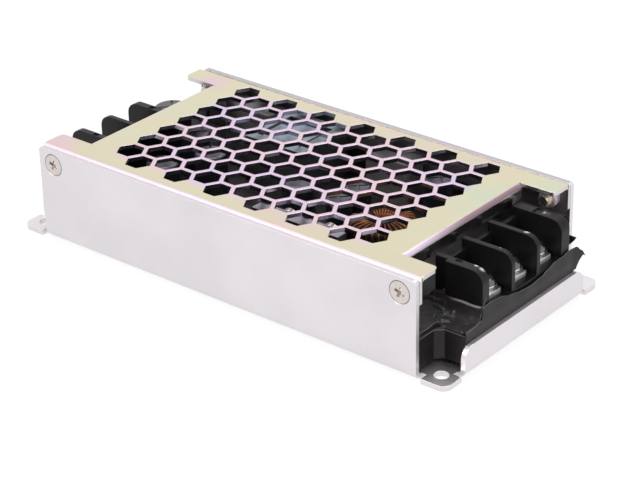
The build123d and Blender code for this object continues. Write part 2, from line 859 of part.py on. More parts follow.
# Heat spreader bar, power devices against it and the screws that hold them
spreader_x = spreader_from_spacer - spacer_x
spreader_y = -cover_inner_y + spreader_side_gap + spreader_t / 2
spreader_top = cover_inner_z - spreader_top_gap
device_z = board_top + device_board_gap
device_tab_h = spreader_top - device_tab_drop - device_z
device_body_h = device_tab_h - device_tab_show
device_hole_z = device_z + device_tab_h - device_hole_drop
device_places = [
    spreader_x + (k - (device_count - 1) / 2) * device_spacing for k in range(device_count)
]
with BuildPart() as heat_spreader:
    with BuildSketch(Plane.XY.offset(board_top)):
        with Locations((spreader_x, spreader_y)):
            Rectangle(spreader_length, spreader_t)
    extrude(amount=spreader_top - board_top)
    for x in device_places:
        seat = Plane(origin=(x, spreader_y, device_hole_z), z_dir=(0, 1, 0))
        with BuildSketch(seat):
            Circle(device_screw_d / 2 + screw_fit)
        extrude(amount=spreader_t, both=True, mode=Mode.SUBTRACT)
heat_spreader.part.label = "heat_spreader"
export_step(heat_spreader.part, "parts/heat_spreader.step")

device_face = spreader_y + spreader_t / 2
for k, x in enumerate(device_places, 1):
    with BuildPart() as device:
        tab = Plane(origin=(x, device_face, device_z), x_dir=(-1, 0, 0), z_dir=(0, 1, 0))
        with BuildSketch(tab):
            Rectangle(device_width, device_tab_h, align=(Align.CENTER, Align.MIN))
            with Locations((0, device_hole_z - device_z)):
                Circle(device_hole_d / 2, mode=Mode.SUBTRACT)
        extrude(amount=device_tab_t)
        with BuildSketch(tab.offset(device_tab_t)):
            Rectangle(device_width, device_body_h, align=(Align.CENTER, Align.MIN))
        extrude(amount=device_body_t)
        for lead in (-1, 0, 1):
            with BuildSketch(Plane.XY.offset(board_top)):
                with Locations(
                    (x + lead * device_width / 4, device_face + device_tab_t + device_body_t / 2)
                ):
                    Rectangle(pin_t, pin_t)
            extrude(amount=device_z - board_top)
    device.part.label = f"power_device_{k}"
    export_step(device.part, f"parts/power_device_{k}.step")

with BuildPart() as device_screws:
    for x in device_places:
        seat = Plane(
            origin=(x, device_face + device_tab_t, device_hole_z), z_dir=(0, 1, 0)
        )
        with BuildSketch(seat):
            Circle(device_head_d / 2)
        extrude(amount=device_head_h)
        with BuildSketch(seat):
            Circle(device_screw_d / 2)
        extrude(amount=-device_screw_length)
        face = Plane(origin=seat.origin + seat.z_dir * device_head_h, z_dir=(0, 1, 0))
        extrude(cross_recess(face), amount=-screw_recess, mode=Mode.SUBTRACT)
device_screws.part.label = "device_screws"
export_step(device_screws.part, "parts/device_screws.step")

# Potting compound, poured round everything that stands on the board
potting_floor = film_top_of_floor + seat_gap
pour = tray(
    film_inner_x - seat_gap,
    film_inner_y - seat_gap,
    film_t + seat_gap,
    potting_floor,
    potting_z,
)
near = input_walls[0][0]
with BuildPart() as potting:
    add(pour)
    with BuildSketch(Plane.YZ.offset(block_rear)):
        with BuildLine():
            Polyline(
                (near, potting_z),
                (near, potting_heap_z),
                (near - potting_heap_reach, potting_z),
                close=True,
            )
        make_face()
    extrude(amount=block_depth)
    with BuildSketch(Plane.XY.offset(board_z)):
        add(
            tray_outline(
                film_inner_x - board_margin,
                film_inner_y - board_margin,
                film_t + board_margin,
            )
        )
    extrude(amount=board_t, mode=Mode.SUBTRACT)
    with BuildSketch(Plane.XY.offset(potting_floor)):
        with GridLocations(2 * spacer_x, 2 * spacer_y, 2, 2):
            Circle(spacer_d / 2 + seat_gap)
        for name, side, walls in blocks:
            for y in ways(walls):
                with Locations((side * (plate_rear + pin_t / 2), y)):
                    Rectangle(pin_t + 2 * pin_gap, pin_width + 2 * pin_gap)
    extrude(amount=board_z - potting_floor, mode=Mode.SUBTRACT)
    with BuildSketch(Plane.XY.offset(board_top)):
        with GridLocations(2 * spacer_x, 2 * spacer_y, 2, 2):
            Circle(board_head_d / 2 + seat_gap)
    extrude(amount=board_head_h + seat_gap, mode=Mode.SUBTRACT)
    with BuildSketch(Plane.XY.offset(board_top)):
        for name, side, walls in blocks:
            low, high = walls[0][0] - seat_gap, walls[-1][1] + seat_gap
            with Locations((side * (block_rear - seat_gap + length) / 2, (low + high) / 2)):
                Rectangle(length - block_rear + seat_gap, high - low)
        with Locations((block_front - pad_length / 2, near - pad_t / 2)):
            Rectangle(pad_length + 2 * seat_gap, pad_t + 2 * seat_gap)
        for name, x, y, diameter, can_height in capacitors:
            with Locations((x, y)):
                Circle(diameter / 2 + seat_gap)
        for name, x, y, box_length, box_width, box_top in film_capacitors:
            with Locations((x, y)):
                Rectangle(box_length + 2 * seat_gap, box_width + 2 * seat_gap)
        with Locations((transformer_x, transformer_y)):
            Rectangle(core_length + 2 * bobbin_t + 2 * seat_gap, core_width + 2 * seat_gap)
        with Locations((choke_x, choke_y)):
            Circle(choke_od / 2 + sleeve_t + wire_d + wound_gap + seat_gap)
        device_back = spreader_y - spreader_t / 2 - seat_gap
        device_front = device_face + device_tab_t + device_body_t + seat_gap
        with Locations((spreader_x, (device_back + device_front) / 2)):
            Rectangle(spreader_length + 2 * seat_gap, device_front - device_back)
    extrude(amount=potting_heap_z, mode=Mode.SUBTRACT)
potting.part.label = "potting"
export_step(potting.part, "parts/potting.step")
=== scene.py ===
"""Enclosed power converter: finishes, fine detail, camera and studio around the CAD frame."""

import json
from math import cos, pi, radians, sin

import bmesh
import bpy
from mathutils import Matrix, Vector


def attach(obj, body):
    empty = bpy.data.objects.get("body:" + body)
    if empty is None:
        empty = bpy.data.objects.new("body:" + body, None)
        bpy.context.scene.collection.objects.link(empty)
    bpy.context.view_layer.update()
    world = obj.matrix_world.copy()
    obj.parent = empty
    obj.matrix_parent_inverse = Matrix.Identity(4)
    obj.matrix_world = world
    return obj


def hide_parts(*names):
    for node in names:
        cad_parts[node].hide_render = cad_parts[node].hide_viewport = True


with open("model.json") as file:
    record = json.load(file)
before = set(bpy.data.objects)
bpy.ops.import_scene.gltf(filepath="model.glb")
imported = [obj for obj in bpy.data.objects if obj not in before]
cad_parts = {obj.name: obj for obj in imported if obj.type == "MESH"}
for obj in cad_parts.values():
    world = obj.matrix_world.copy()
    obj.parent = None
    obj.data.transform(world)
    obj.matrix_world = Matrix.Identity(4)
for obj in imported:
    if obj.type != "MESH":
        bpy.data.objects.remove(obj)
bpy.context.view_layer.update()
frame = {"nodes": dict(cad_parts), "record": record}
MM = 0.001


def linear(red, green, blue):
    """A colour given as 0-255 screen values, as the linear colour that shaders take."""
    channels = []
    for value in (red, green, blue):
        c = value / 255
        channels.append(c / 12.92 if c <= 0.04045 else ((c + 0.055) / 1.055) ** 2.4)
    return (*channels, 1.0)


class Socket:
    """A shader value that Python's own operators work on, one Math node each."""

    def __init__(self, finish, socket):
        self.finish = finish
        self.socket = socket

    def math(self, operation, *others):
        values = dict(enumerate((self, *others)))
        return self.finish.add("ShaderNodeMath", {"operation": operation}, values)

    def __add__(self, other):
        return self.math("ADD", other)

    __radd__ = __add__

    def __mul__(self, other):
        return self.math("MULTIPLY", other)

    __rmul__ = __mul__

    def __sub__(self, other):
        return self.math("SUBTRACT", other)

    def __rsub__(self, other):
        return self * -1 + other

    def band(self, low, full, still, high):
        """1 from full to still, 0 below low and above high, smooth between them."""
        return self.step(low, full) * (1 - self.step(still, high))

    def clamp(self):
        return self.finish.add("ShaderNodeClamp", {}, {"Value": self})

    def step(self, low, high):
        """0 below low, 1 above high, smooth between them."""
        settings = {"interpolation_type": "SMOOTHSTEP"}
        values = {"Value": self, "From Min": low, "From Max": high}
        return self.finish.add("ShaderNodeMapRange", settings, values)


class Finish:
    """One procedural material, with its Principled shader and the piece's own coordinates.

    Positions and distances in a finish are in metres, in the frame that all pieces share.
    """

    def __init__(self, name, metallic=0.0):
        self.material = bpy.data.materials.new(name)
        self.material.use_nodes = True
        self.tree = self.material.node_tree
        self.shader = self.tree.nodes["Principled BSDF"]
        self.shader.inputs["Metallic"].default_value = metallic
        self.place = self.add("ShaderNodeTexCoord", out="Object")

    def add(self, kind, settings=None, values=None, out=0):
        """Adds a node with its settings, then its values or links, and gives one output."""
        node = self.tree.nodes.new(kind)
        for key, value in (settings or {}).items():
            if key == "stops":
                ramp = node.color_ramp.elements
                while len(ramp) < len(value):
                    ramp.new(0.5)
                for element, (position, colour) in zip(ramp, value):
                    element.position = position
                    element.color = colour
            else:
                setattr(node, key, value)
        for key, value in (values or {}).items():
            if isinstance(value, Socket):
                self.tree.links.new(value.socket, node.inputs[key])
            else:
                node.inputs[key].default_value = value
        return Socket(self, node.outputs[out])

    def noise(self, scale, detail=3.0, rough=0.5, stretch=None):
        """Soft noise around 0.5, finer with a larger scale."""
        where = self.place
        if stretch:
            where = self.add(
                "ShaderNodeVectorMath", {"operation": "MULTIPLY"}, {0: where, 1: stretch}
            )
        values = {"Vector": where, "Scale": scale, "Detail": detail, "Roughness": rough}
        return self.add("ShaderNodeTexNoise", {}, values, "Fac")

    def axis(self, source, letter):
        return self.add("ShaderNodeSeparateXYZ", {}, {0: source}, letter)

    def upward(self):
        """1 where the surface faces straight up, 0 where it stands, -1 underneath."""
        return self.axis(self.add("ShaderNodeNewGeometry", out="Normal"), "Z")

    def away(self, point, source=None):
        """Distance from a point."""
        values = {0: source or self.place, 1: point}
        return self.add("ShaderNodeVectorMath", {"operation": "DISTANCE"}, values, "Value")

    def mix(self, share, a, b):
        """Colour a at share 0, colour b at share 1; 6, 7 and 2 are the colour sockets."""
        values = {"Factor": share, 6: a, 7: b}
        return self.add("ShaderNodeMix", {"data_type": "RGBA"}, values, 2)

    def ramp(self, value, *stops):
        return self.add("ShaderNodeValToRGB", {"stops": stops}, {"Fac": value}, "Color")

    def bump(self, height, strength, distance, rounding=None):
        """Relief from a height, over edges that look rounded by that radius."""
        values = {"Height": height, "Strength": strength, "Distance": distance}
        if rounding:
            values["Normal"] = self.add("ShaderNodeBevel", {"samples": 6}, {"Radius": rounding})
        self.use("Normal", self.add("ShaderNodeBump", {}, values))

    def use(self, name, value):
        """Sets one input of the shader to a value or links it."""
        if isinstance(value, Socket):
            self.tree.links.new(value.socket, self.shader.inputs[name])
        else:
            self.shader.inputs[name].default_value = value


def satin_aluminium():
    """Mill-finished sheet: faint rolling lines along X, soft clouds, and the walls' top edges
    painted darker as shade, most at the far wall.
    """
    m = Finish("satin_aluminium", metallic=1.0)
    clouds = m.noise(45.0, 4.0)
    lines = m.noise(900.0, 2.0, stretch=(0.03, 1.0, 1.0))
    specks = m.noise(2600.0, 2.0)
    base = m.mix(clouds.step(0.35, 0.7), linear(222, 217, 221), linear(229, 224, 227))
    # Painted shade: the walls' top edges darker grey, darker still at the far wall
    cut_edge = m.axis(m.place, "Z").step(0.02405, 0.02415)
    far = m.axis(m.place, "Y").step(0.0, 0.01)
    edge = m.mix(far, linear(216, 208, 214), linear(186, 182, 190))
    m.use("Base Color", m.mix(cut_edge, base, edge))
    m.use("Roughness", 0.29 + clouds * 0.08 + lines * 0.06)
    m.bump(lines * 0.6 + specks * 0.4, 0.12, 0.0001, 0.0002)
    return m.material


def spreader_aluminium():
    """Milled bar, a darker grey in soft blotches."""
    m = Finish("spreader_aluminium", metallic=1.0)
    blotch = m.noise(240.0, 4.0, 0.6)
    m.use("Base Color", m.mix(blotch, linear(132, 126, 136), linear(168, 163, 170)))
    m.use("Roughness", 0.35 + blotch * 0.2)
    m.bump(m.noise(900.0, 2.0, stretch=(0.05, 1.0, 1.0)), 0.15, 0.0001, 0.0002)
    return m.material


def chromated_steel():
    """Yellow passivation on the margins, pink and lilac on the webs between the vents."""
    m = Finish("chromated_steel", metallic=1.0)
    level = m.upward().math("ABSOLUTE")
    x, y, z = (m.axis(m.place, letter) for letter in "XYZ")
    off_x = x.math("ABSOLUTE")
    off_y = y.math("ABSOLUTE")
    drift = m.noise(38.0, 3.0, stretch=(0.7, 1.3, 1.0))
    fine = m.noise(210.0, 4.0, 0.6)
    flow = drift * 0.78 + fine * 0.22
    near_corner = m.away((-0.0555, -0.0270, 0.0245))
    far_corner = m.away((-0.0480, 0.0225, 0.0245))
    pink = 1 - near_corner.step(0.002, 0.011)
    pink = pink + 1 - far_corner.step(0.001, 0.007)
    margin = m.ramp(
        flow + pink * 0.16,
        (0.32, linear(212, 216, 192)),
        (0.46, linear(221, 215, 186)),
        (0.58, linear(222, 212, 186)),
        (0.70, linear(228, 202, 204)),
    )
    web = m.ramp(
        flow,
        (0.34, linear(218, 200, 230)),
        (0.50, linear(231, 204, 222)),
        (0.64, linear(234, 204, 204)),
    )
    # Chromate tint on the rounded bends, partly a painted highlight along them
    bend_tint_and_highlight = m.ramp(
        flow,
        (0.35, linear(222, 202, 220)),
        (0.50, linear(214, 200, 224)),
        (0.62, linear(226, 200, 208)),
    )
    side = m.mix(fine, linear(206, 202, 196), linear(214, 207, 214))

    # The vented field, with an edge that wanders a little
    sway = (drift - 0.5) * 0.005
    field = (1 - (off_x + sway).step(0.0368, 0.0392)) * (1 - (off_y + sway).step(0.0218, 0.0246))
    flat = m.mix(field, margin, web)

    # Rounded bends, but for the far long one, in chromate tint partly painted as a highlight, and
    # the side flanges under them
    off_flange = level.step(0.05, 0.35)
    rim = off_flange * (1 - level.step(0.86, 0.99)) * (1 - y.step(0.020, 0.025))
    outside = m.mix(off_flange, side, m.mix(rim, flat, bend_tint_and_highlight))

    # Walls of the vents darkened as painted shade, the input end's lip painted darker where it
    # goes into shade, and the thread bosses
    # Painted shade: the vent walls darker than the webs
    shaded_vent_wall = (1 - off_x.step(0.0415, 0.0420)) * (1 - off_y.step(0.0268, 0.0272))
    shaded_vent_wall = shaded_vent_wall * (1 - level.step(0.3, 0.6))
    outside = m.mix(shaded_vent_wall, outside, linear(176, 170, 184))
    # Painted shade: the input end's lip darker where it goes into shade
    lip = rim * x.step(0.0440, 0.0450) * y.step(-0.022, 0.004)
    outside = m.mix(lip, outside, linear(150, 128, 136))
    boss = off_y.band(0.0254, 0.0256, 0.02755, 0.0276)
    boss = boss * off_x.step(0.0485, 0.0490) * (1 - z.step(0.0232, 0.0234))
    outside = m.mix(boss, outside, linear(240, 232, 246))

    # Inner face of the side flanges, painted dark as shade, with no metallic sheen there
    inner_shade = off_y.band(0.02755, 0.02765, 0.0278, 0.0279) * (1 - level.step(0.1, 0.3))
    m.use("Base Color", m.mix(inner_shade, outside, linear(78, 71, 75)))
    m.use("Metallic", 1 - inner_shade)
    m.use("Roughness", 0.14 + fine * 0.12 + boss * 0.35 + rim * 0.3)
    m.bump(m.noise(1500.0, 3.0), 0.05, 0.0001, 0.00018)
    return m.material


def plated_screw():
    """Nickel plate with a light haze, and a painted shadow ring round the cover screws' heads."""
    m = Finish("plated_screw", metallic=1.0)
    haze = m.noise(900.0, 3.0)
    folded = m.add("ShaderNodeVectorMath", {"operation": "ABSOLUTE"}, {0: m.place}, "Vector")
    from_head = m.away((0.0517, 0.0300, 0.0204), folded)
    # Painted shadow: a dark ring where the head meets its countersink
    rim = from_head.step(0.00250, 0.00268) * m.axis(folded, "Y").step(0.0280, 0.0285)
    face = m.mix(haze, linear(224, 216, 212), linear(202, 194, 190))
    m.use("Base Color", m.mix(rim, face, linear(128, 120, 118)))
    m.use("Roughness", 0.2 + haze * 0.16)
    m.bump(m.noise(3000.0, 2.0), 0.08, 0.0001)
    return m.material


def bright_tin():
    """Tin plate, darker on the screw heads and rougher on the plates under the washers."""
    m = Finish("bright_tin", metallic=1.0)
    haze = m.noise(700.0, 3.0)
    bright = m.mix(haze, linear(238, 238, 238), linear(212, 212, 214))
    z = m.axis(m.place, "Z")
    head = z.step(0.0148, 0.0150)
    plate = 1 - z.step(0.0130, 0.0131)
    m.use("Base Color", m.mix(head, bright, linear(112, 109, 110)))
    m.use("Roughness", 0.16 + haze * 0.18 + plate * 0.26)
    m.bump(m.noise(2400.0, 2.0), 0.1, 0.0001, 0.00015)
    return m.material


def turned_brass():
    """Turned brass, a little hazy."""
    m = Finish("turned_brass", metallic=1.0)
    haze = m.noise(900.0, 2.0)
    m.use("Base Color", m.mix(haze, linear(244, 226, 190), linear(228, 206, 162)))
    m.use("Roughness", 0.4 + haze * 0.15)
    return m.material


def insulating_film():
    """Black film with long soft ripples and rubbed patches, and a painted highlight along its
    upward-facing cut edges.
    """
    m = Finish("insulating_film")
    ripple = m.noise(90.0, 2.0, stretch=(1.0, 1.0, 0.4))
    dust = m.noise(1400.0, 3.0).step(0.58, 0.75)
    sheet = m.mix(dust * 0.5, linear(30, 27, 29), linear(56, 52, 55))
    # Painted highlight: the upward-facing cut edges lighter
    cut_edge = m.upward().step(0.6, 0.9)
    m.use("Base Color", m.mix(cut_edge, sheet, linear(104, 99, 102)))
    m.use("Roughness", 0.24 + ripple * 0.16)
    m.use("Specular IOR Level", 0.22)
    m.bump(ripple, 0.5, 0.0006)
    return m.material


def potting_compound():
    """Poured black resin: slow swells, pits, and a little brownish flux and dust."""
    m = Finish("potting_compound")
    swell = m.noise(110.0, 3.0)
    grain = m.noise(1900.0, 4.0, 0.6)
    dust = m.noise(330.0, 5.0, 0.65).step(0.6, 0.74)
    x = m.axis(m.place, "X")
    y = m.axis(m.place, "Y")

    # Flux by the input block, and a painted highlight: the pale line where the resin meets the
    # block's foot
    flux = x.band(0.0440, 0.0455, 0.0515, 0.0535) * y.band(-0.0165, -0.0150, -0.0124, -0.0118)
    meniscus_highlight = x.band(0.0525, 0.0560, 0.0612, 0.0620) * y.band(-0.01418, -0.01412, -0.01404, -0.01399)
    base = m.mix(swell, linear(28, 26, 27), linear(44, 41, 42))
    base = m.mix(meniscus_highlight * (0.4 + swell), base, linear(142, 136, 140))
    m.use("Base Color", m.mix(dust * 0.2 + flux * dust * 0.6, base, linear(156, 130, 114)))
    m.use("Roughness", 0.34 + grain * 0.2)
    m.use("Specular IOR Level", 0.35)

    # Glossy where the resin has crept up the block, and in one ring beside it
    by_pad = x.step(0.0505, 0.0530) * y.step(-0.0152, -0.0146)
    by_block = (1 - y.step(-0.0126, -0.0122)) * x.step(0.0440, 0.0480)
    ring = 1 - m.away((0.0541, -0.0172, 0.0098)).step(0.0022, 0.0028)
    m.use("Coat Weight", (by_pad * by_block + ring * 0.6).clamp())
    m.use("Coat Roughness", 0.12)
    m.bump(grain * 0.5 + swell * 0.5, 0.45, 0.0004)
    return m.material


def moulded_black(name, low, high, glint_points=()):
    """Moulded thermoplastic with a fine grain, and painted highlights as bright glints round the
    given points.
    """
    m = Finish(name)
    grain = m.noise(2600.0, 2.0)
    cloud = m.noise(160.0, 3.0)
    base = m.mix(cloud, linear(*low), linear(*high))
    speck = m.noise(1100.0, 2.0).step(0.44, 0.56)
    for glint_point in glint_points:
        # Painted highlight: a bright glint round each given point
        glint = speck * (1 - m.away(glint_point).step(0.0004, 0.0011))
        base = m.mix(glint, base, linear(196, 192, 194))
    m.use("Base Color", base)
    m.use("Roughness", 0.26 + grain * 0.1 + cloud * 0.1)
    m.use("Specular IOR Level", 0.2)
    m.bump(grain, 0.16, 0.0001, 0.0003)
    return m.material


def laminate():
    """Green solder resist over a woven laminate."""
    m = Finish("laminate")
    weave = m.noise(1200.0, 2.0)
    m.use("Base Color", m.mix(weave, linear(26, 72, 44), linear(34, 88, 54)))
    m.use("Roughness", 0.3 + weave * 0.2)
    return m.material


def ferrite():
    """Dark sintered ferrite; on the transformer's core the upward faces are painted pale as lit
    tops against the dark sides, painted light and shade.
    """
    m = Finish("ferrite")
    grain = m.noise(1500.0, 4.0, 0.6)
    # Painted light: the transformer core's upward faces pale as if lit, against dark sides
    top = m.upward().step(0.5, 0.8) * (1 - m.axis(m.place, "X").step(0.010, 0.012))
    sintered = m.mix(grain, linear(34, 34, 36), linear(50, 49, 50))
    lit_top_colour = m.mix(grain, linear(118, 128, 136), linear(150, 160, 168))
    m.use("Base Color", m.mix(top, sintered, lit_top_colour))
    m.use("Roughness", 0.5 + grain * 0.2)
    m.bump(grain, 0.25, 0.0002)
    return m.material


def coil_tape():
    """Polyester tape wrapped round the coil, a lap line every few millimetres."""
    m = Finish("coil_tape")
    laps = m.add(
        "ShaderNodeTexWave",
        {"wave_type": "BANDS", "bands_direction": "X", "wave_profile": "SAW"},
        {"Vector": m.place, "Scale": 26.0, "Distortion": 0.6, "Detail": 1.0},
        "Fac",
    )
    haze = m.noise(300.0, 3.0)
    m.use("Base Color", m.mix(haze, linear(120, 132, 146), linear(150, 160, 174)))
    m.use("Roughness", 0.22 + haze * 0.2)
    m.bump(laps, 0.4, 0.0002)
    return m.material


def enamelled_copper():
    """Copper wire under a brownish enamel."""
    m = Finish("enamelled_copper", metallic=1.0)
    tone = m.noise(420.0, 3.0)
    m.use("Base Color", m.mix(tone, linear(136, 88, 58), linear(92, 54, 36)))
    m.use("Roughness", 0.2 + tone * 0.2)
    return m.material


def capacitor_can():
    """A dark sleeve round the can, and bare aluminium on its top, painted darker as shade under
    the cover.
    """
    m = Finish("capacitor_can")
    top = m.upward().step(0.5, 0.8)
    haze = m.noise(900.0, 3.0)
    sleeve = m.mix(haze, linear(20, 20, 24), linear(32, 33, 38))
    # Painted shade: the bare aluminium tops darkened as under the cover
    shaded_bare_top = m.mix(haze, linear(112, 110, 114), linear(90, 88, 92))
    m.use("Base Color", m.mix(top, sleeve, shaded_bare_top))
    m.use("Metallic", top)
    m.use("Roughness", 0.28 + haze * 0.14)
    return m.material


def capacitor_box():
    """Grey moulded box of a film capacitor."""
    m = Finish("capacitor_box")
    grain = m.noise(1300.0, 2.0)
    m.use("Base Color", m.mix(grain, linear(86, 84, 84), linear(104, 100, 98)))
    m.use("Roughness", 0.3 + grain * 0.2)
    m.bump(grain, 0.12, 0.0001)
    return m.material


def device_resin():
    """Black resin body, and the plated tab behind it told apart by its depth."""
    m = Finish("device_resin")
    grain = m.noise(2200.0, 2.0)
    tab = 1 - m.axis(m.place, "Y").step(-0.01625, -0.01615)
    resin = m.mix(grain, linear(20, 20, 22), linear(32, 32, 34))
    m.use("Base Color", m.mix(tab, resin, linear(150, 148, 152)))
    m.use("Metallic", tab)
    m.use("Roughness", 0.34 + grain * 0.16)
    return m.material


# Painted highlights: glints on the tops of the input block's walls
glint_spots = (
    (0.0583, 0.0081, 0.0212),
    (0.0578, -0.0012, 0.0213),
    (0.0588, -0.0114, 0.0210),
    (0.0568, 0.0180, 0.0213),
    (0.0600, -0.0118, 0.0205),
)
finishes = {
    "chassis_aluminium": satin_aluminium(),
    "chromated_steel": chromated_steel(),
    "plated_screw": plated_screw(),
    "spacer_brass": turned_brass(),
    "insulating_film": insulating_film(),
    "potting": potting_compound(),
    "laminate": laminate(),
    "block_plastic": moulded_black("block_plastic", (13, 12, 13), (23, 21, 22), glint_spots),
    "terminal_metal": bright_tin(),
    "ferrite": ferrite(),
    "bobbin_plastic": moulded_black("bobbin_plastic", (17, 17, 18), (27, 27, 28)),
    "coil_tape": coil_tape(),
    "copper_wire": enamelled_copper(),
    "capacitor_can": capacitor_can(),
    "capacitor_box": capacitor_box(),
    "spreader_aluminium": spreader_aluminium(),
    "device_resin": device_resin(),
}
for entry in frame["record"]["subparts"]:
    node = frame["nodes"][entry["node"]]
    node.data.materials.clear()
    node.data.materials.append(finishes[entry["material_slot"]])


def apply_all(piece):
    """Applies every modifier and the object's own place, so the piece sits at the origin."""
    bpy.ops.object.select_all(action="DESELECT")
    bpy.context.view_layer.objects.active = piece
    piece.select_set(True)
    for modifier in list(piece.modifiers):
        bpy.ops.object.modifier_apply(modifier=modifier.name)
    bpy.ops.object.transform_apply(location=True, rotation=True, scale=True)


def finish_piece(piece, name, slot, body="case", replaced=()):
    """Names the piece, gives it its finish, and hands it to the CAD body it rides on."""
    piece.name = name
    piece.data.name = name
    piece.data.materials.clear()
    piece.data.materials.append(finishes[slot])
    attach(piece, body)
    if replaced:
        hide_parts(*replaced)


def wire_piece(name, radius, resolution, routes):
    """A round wire of that radius along each route, all in mm, as one mesh."""
    curve = bpy.data.curves.new(name, "CURVE")
    curve.dimensions = "3D"
    curve.bevel_depth = radius * MM
    curve.bevel_resolution = resolution
    curve.use_fill_caps = True
    for route in routes:
        spline = curve.splines.new("POLY")
        spline.points.add(len(route) - 1)
        for point, (x, y, z) in zip(spline.points, route):
            point.co = (x * MM, y * MM, z * MM, 1)
    wire = bpy.data.objects.new(name, curve)
    bpy.context.collection.objects.link(wire)
    bpy.ops.object.select_all(action="DESELECT")
    bpy.context.view_layer.objects.active = wire
    wire.select_set(True)
    bpy.ops.object.convert(target="MESH")
    bpy.ops.object.shade_smooth()
    return bpy.context.object


def select_faces(mesh, wanted):
    """Selects, in edit mode, the faces whose middle (in mm) passes the test."""
    shape = bmesh.from_edit_mesh(mesh)
    for face in shape.faces:
        middle = face.calc_center_median()
        face.select_set(wanted(middle.x / MM, middle.y / MM, middle.z / MM))
    bmesh.update_edit_mesh(mesh)


# Potting: one poured surface that creeps up the block, the film and the parts it holds. All the
# pieces below are worked out in mm, and MM turns their points into metres.
film_x, film_y = 62.2, 28.2
pocket_x, pocket_y, pocket_cut = 55.05, 20.55, 1.75
potting_z = 9.3
block_near_y = -12.9
footprints = (
    (48.6, 62.4, block_near_y, 19.6),
    (-62.4, -48.6, -13.4, 8.5),
)
pad = (52.0, 62.0, -14.0, block_near_y)
core = (-25.0, -6.6, 8.0, 26.0)
bpy.ops.object.select_all(action="DESELECT")
bpy.ops.mesh.primitive_grid_add(
    x_subdivisions=250, y_subdivisions=114, size=2 * film_x * MM, location=(0, 0, 0)
)
pour = bpy.context.object
bpy.ops.object.mode_set(mode="EDIT")
bpy.ops.mesh.select_all(action="SELECT")
bpy.ops.transform.resize(value=(1, film_y / film_x, 1))


def by_corner(sx, sy):
    """A test for the faces round the pocket in that corner."""
    return lambda x, y, z: sx * x > 53 and sy * y > 18


def by_block(x0, x1):
    """A test for the faces round the block that stands from x0 to x1."""
    return lambda x, y, z: x0 - 2 < x < x1 + 2


# Straight cuts through the grid, so its edges run along the pockets and the blocks: the faces
# that each one cuts, a point on it and its normal
cuts = []
for sx in (1, -1):
    for sy in (1, -1):
        corner = by_corner(sx, sy)
        cuts.append((corner, (sx * pocket_x, 0), (1, 0)))
        cuts.append((corner, (0, sy * pocket_y), (0, 1)))
        edge = (sx * (pocket_x + pocket_cut), sy * pocket_y)
        cuts.append((corner, edge, (sx, sy)))
for x0, x1, y0, y1 in footprints:
    near = by_block(x0, x1)
    for x in (x0, x1):
        cuts.append((near, (x, 0), (1, 0)))
    for y in (y0, y1):
        cuts.append((near, (0, y), (0, 1)))
for wanted, (x, y), (nx, ny) in cuts:
    select_faces(pour.data, wanted)
    bpy.ops.mesh.bisect(plane_co=(x * MM, y * MM, 0), plane_no=(nx, ny, 0))


def outside_pour(x, y, z):
    """True in the four pockets and under the terminal blocks, where nothing was poured."""
    ax, ay = abs(x), abs(y)
    past_cut = ax - pocket_x + ay - pocket_y > pocket_cut
    if ax > pocket_x and ay > pocket_y and past_cut:
        return True
    return any(x0 < x < x1 and y0 < y < y1 for x0, x1, y0, y1 in footprints)


select_faces(pour.data, outside_pour)
bpy.ops.mesh.delete(type="FACE")
select_faces(pour.data, lambda x, y, z: x > 43 and y < -9)
bpy.ops.mesh.subdivide(number_cuts=2)
bpy.ops.object.mode_set(mode="OBJECT")


def fade(share):
    """Falls from 1 at 0, to about a third of itself with each further 1."""
    return 2.718 ** -share


def creep(distance, rise, reach):
    """Height of the meniscus that far from a wall."""
    return rise * fade(max(distance, 0) / reach)


def to_line(x, y, x0, y0, x1, y1):
    """Distance in plan to a straight line between two points."""
    dx, dy = x1 - x0, y1 - y0
    share = ((x - x0) * dx + (y - y0) * dy) / (dx * dx + dy * dy)
    share = min(1.0, max(0.0, share))
    return ((x - x0 - share * dx) ** 2 + (y - y0 - share * dy) ** 2) ** 0.5


def to_box(x, y, x0, x1, y0, y1):
    """Distance in plan to a rectangle."""
    dx = max(x0 - x, x - x1, 0)
    dy = max(y0 - y, y - y1, 0)
    return (dx * dx + dy * dy) ** 0.5


# Round parts that stand in the resin: centre and radius
standing = (
    (-0.2, -0.8, 4.0),
    (12.9, -1.9, 3.2),
    (12.8, 5.4, 3.2),
    (25.4, 20.4, 4.0),
    (-27.0, -1.3, 4.0),
    (-32.6, -12.3, 4.0),
    (-38.0, 4.7, 4.0),
    (-53.2, 13.4, 4.7),
    (27.0, -3.5, 8.3),
)

# Strings and beads of resin by the input block: both ends and the height
ridge_width = 0.22
ridges = (
    (45.2, -12.2, 48.2, -13.0, 0.55),
    (48.2, -13.0, 51.2, -13.6, 0.45),
    (46.2, -13.4, 49.2, -14.3, 0.5),
    (49.2, -14.3, 52.4, -14.6, 0.4),
    (50.0, -15.2, 52.6, -15.6, 0.3),
    (52.3, -16.9, 52.9, -18.1, 0.45),
    (52.9, -18.1, 54.4, -18.7, 0.45),
    (54.4, -18.7, 55.9, -17.8, 0.4),
    (53.0, -16.4, 53.4, -16.3, 0.6),
    (55.0, -15.6, 55.3, -15.4, 0.7),
)


def heap(x, y):
    """Resin piled up against the near side of the input block and its pad."""
    from_wall = block_near_y - y
    ramp = max(0.0, 1 - from_wall / 5.5)
    side = min(1.0, max(0.0, (x - 45.0) / 6.0))
    pile = 2.6 * ramp * ramp * side * (1.0 - 0.02 * (x - 50))
    return pile + side * (creep(to_box(x, y, *pad), 1.9, 0.6) + creep(from_wall, 0.6, 0.5))


